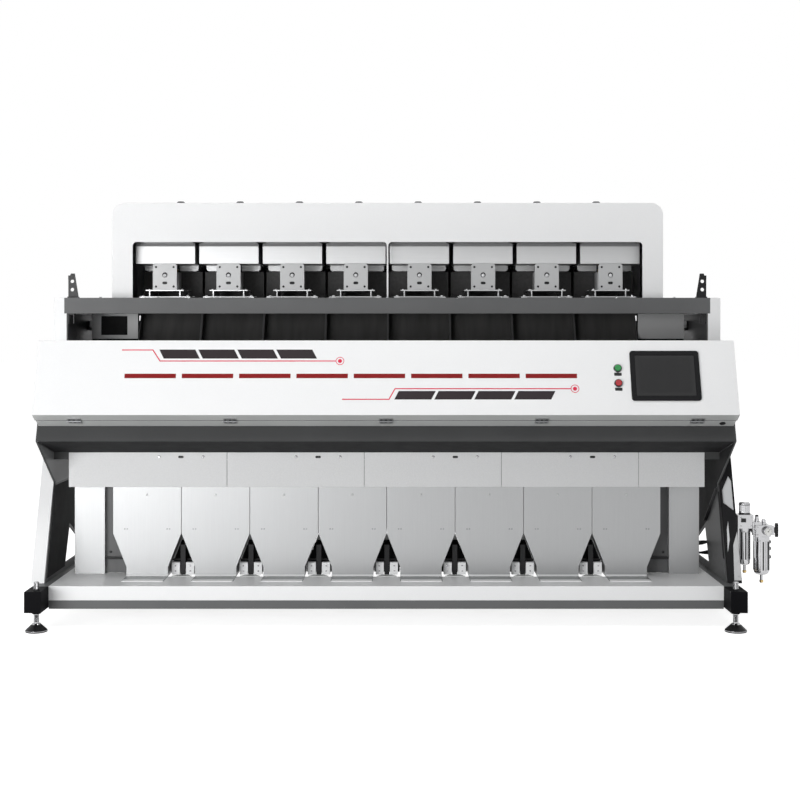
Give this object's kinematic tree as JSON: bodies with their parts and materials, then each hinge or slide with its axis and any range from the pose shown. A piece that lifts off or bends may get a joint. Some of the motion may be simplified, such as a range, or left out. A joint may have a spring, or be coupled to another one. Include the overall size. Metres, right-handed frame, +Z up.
{
  "type": "optical colour sorter",
  "caption": "Chute-type optical colour sorter for grain with vibratory feeders, hinged front cover, touch screen and air unit.",
  "frame": {"origin": "on the floor under the middle of the machine's box", "axes": "+X to the right across the lanes seen from the front, +Y from the front to the back, +Z up"},
  "size_m": [3.5454, 1.65, 2.104],
  "materials": {
    "white_paint": "semi-gloss powder coat",
    "grey_paint": "semi-gloss powder coat",
    "dark_paint": "satin powder coat",
    "black_paint": "satin",
    "stainless": "brushed",
    "zinc_steel": "zinc plated",
    "spring_steel": "blued",
    "dark_anodised": "dark anodised",
    "aluminium": "matt",
    "clear_glass": "clear",
    "light_plastic": "gloss",
    "dark_plastic": "matt",
    "green_plastic": "gloss",
    "red_plastic": "gloss",
    "black_rubber": "matt"
  },
  "bodies": {
    "machine": {"base_frame": "dark_paint", "foot_blocks": "black_paint", "base_deck": "grey_paint", "side_plates": "dark_paint", "left_legs": "white_paint", "right_legs": "dark_paint", "side_boxes": "white_paint", "top_beam": "grey_paint", "upper_frame": "dark_paint", "upper_brackets": "black_paint", "hopper_front": "white_paint", "hopper_shell": "white_paint", "hopper_bin": "stainless", "level_sensors": "light_plastic", "feeder_mounts": "zinc_steel", "feeder_drives": "zinc_steel", "feeder_springs": "spring_steel", "chutes": "dark_anodised", "cross_bars": "zinc_steel", "end_panels": "grey_paint", "front_lower_beam": "dark_paint", "rear_lower_beam": "dark_paint", "front_optic_box": "grey_paint", "rear_optic_box": "grey_paint", "optic_glass": "clear_glass", "cameras": "dark_anodised", "lamps": "light_plastic", "ejector_bank": "aluminium", "air_tank": "aluminium", "strip_covers": "white_paint", "reject_hoppers": "stainless", "accept_hoppers": "stainless", "end_posts": "white_paint", "hinge_base": "zinc_steel", "rear_cover": "white_paint", "air_bracket": "zinc_steel", "air_filters": "aluminium", "air_hoses": "black_rubber"},
    "front_door": {"front_cover": "white_paint", "hinge_leaves": "zinc_steel", "touch_screen": "dark_plastic", "button_collars": "dark_plastic"},
    "green_button": {"green_button": "green_plastic"},
    "red_button": {"red_button": "red_plastic"},
    "cover_lock": {"cover_lock": "dark_plastic"},
    "wipers": {"wipers": "dark_plastic"},
    "regulator_knob": {"regulator_knob": "dark_plastic"},
    "valve_handle": {"valve_handle": "dark_plastic"},
    "feeder_tray_1": {"feeder_tray_1": "stainless"},
    "feeder_tray_2": {"feeder_tray_2": "stainless"},
    "feeder_tray_3": {"feeder_tray_3": "stainless"},
    "feeder_tray_4": {"feeder_tray_4": "stainless"},
    "feeder_tray_5": {"feeder_tray_5": "stainless"},
    "feeder_tray_6": {"feeder_tray_6": "stainless"},
    "feeder_tray_7": {"feeder_tray_7": "stainless"},
    "feeder_tray_8": {"feeder_tray_8": "stainless"},
    "foot_1": {"foot_1": "zinc_steel"},
    "foot_2": {"foot_2": "zinc_steel"},
    "foot_3": {"foot_3": "zinc_steel"},
    "foot_4": {"foot_4": "zinc_steel"}
  },
  "joints": [
    {"name": "front_door_hinge", "type": "hinge", "parent": "machine", "child": "front_door", "pos_m": [-0.10065, -0.77748, 0.96716], "axis": [1, 0, 0], "range_deg": [0, 100]},
    {"name": "green_button_press", "type": "slide", "parent": "front_door", "child": "green_button", "axis": [0, 0.9394, -0.3429], "range_m": [0, 0.005], "stiffness_N_per_m": 500},
    {"name": "red_button_press", "type": "slide", "parent": "front_door", "child": "red_button", "axis": [0, 0.9394, -0.3429], "range_m": [0, 0.005], "stiffness_N_per_m": 500},
    {"name": "cover_lock_turn", "type": "hinge", "parent": "machine", "child": "cover_lock", "pos_m": [1.44335, -0.75402, 0.95379], "axis": [0, -0.4952, -0.8688], "range_deg": [0, 90]},
    {"name": "wiper_slide", "type": "slide", "parent": "machine", "child": "wipers", "axis": [1, 0, 0], "range_m": [0, 0.3]},
    {"name": "regulator_turn", "type": "hinge", "parent": "machine", "child": "regulator_knob", "pos_m": [1.61335, -0.47, 0.53], "axis": [0, 0, 1], "continuous": true},
    {"name": "valve_turn", "type": "hinge", "parent": "machine", "child": "valve_handle", "pos_m": [1.76135, -0.47, 0.428], "axis": [1, 0, 0], "range_deg": [0, 90]},
    {"name": "feeder_shake_1", "type": "slide", "parent": "machine", "child": "feeder_tray_1", "axis": [0, 0.9397, 0.342], "range_m": [-0.0005, 0.0005], "stiffness_N_per_m": 200000},
    {"name": "feeder_shake_2", "type": "slide", "parent": "machine", "child": "feeder_tray_2", "axis": [0, 0.9397, 0.342], "range_m": [-0.0005, 0.0005], "stiffness_N_per_m": 200000},
    {"name": "feeder_shake_3", "type": "slide", "parent": "machine", "child": "feeder_tray_3", "axis": [0, 0.9397, 0.342], "range_m": [-0.0005, 0.0005], "stiffness_N_per_m": 200000},
    {"name": "feeder_shake_4", "type": "slide", "parent": "machine", "child": "feeder_tray_4", "axis": [0, 0.9397, 0.342], "range_m": [-0.0005, 0.0005], "stiffness_N_per_m": 200000},
    {"name": "feeder_shake_5", "type": "slide", "parent": "machine", "child": "feeder_tray_5", "axis": [0, 0.9397, 0.342], "range_m": [-0.0005, 0.0005], "stiffness_N_per_m": 200000},
    {"name": "feeder_shake_6", "type": "slide", "parent": "machine", "child": "feeder_tray_6", "axis": [0, 0.9397, 0.342], "range_m": [-0.0005, 0.0005], "stiffness_N_per_m": 200000},
    {"name": "feeder_shake_7", "type": "slide", "parent": "machine", "child": "feeder_tray_7", "axis": [0, 0.9397, 0.342], "range_m": [-0.0005, 0.0005], "stiffness_N_per_m": 200000},
    {"name": "feeder_shake_8", "type": "slide", "parent": "machine", "child": "feeder_tray_8", "axis": [0, 0.9397, 0.342], "range_m": [-0.0005, 0.0005], "stiffness_N_per_m": 200000},
    {"name": "foot_turn_1", "type": "hinge", "parent": "machine", "child": "foot_1", "pos_m": [-1.70615, -0.7485, 0.12], "axis": [0, 0, 1], "continuous": true},
    {"name": "foot_turn_2", "type": "hinge", "parent": "machine", "child": "foot_2", "pos_m": [1.50485, -0.7485, 0.12], "axis": [0, 0, 1], "continuous": true},
    {"name": "foot_turn_3", "type": "hinge", "parent": "machine", "child": "foot_3", "pos_m": [-1.70615, 0.7485, 0.12], "axis": [0, 0, 1], "continuous": true},
    {"name": "foot_turn_4", "type": "hinge", "parent": "machine", "child": "foot_4", "pos_m": [1.50485, 0.7485, 0.12], "axis": [0, 0, 1], "continuous": true}
  ]
}
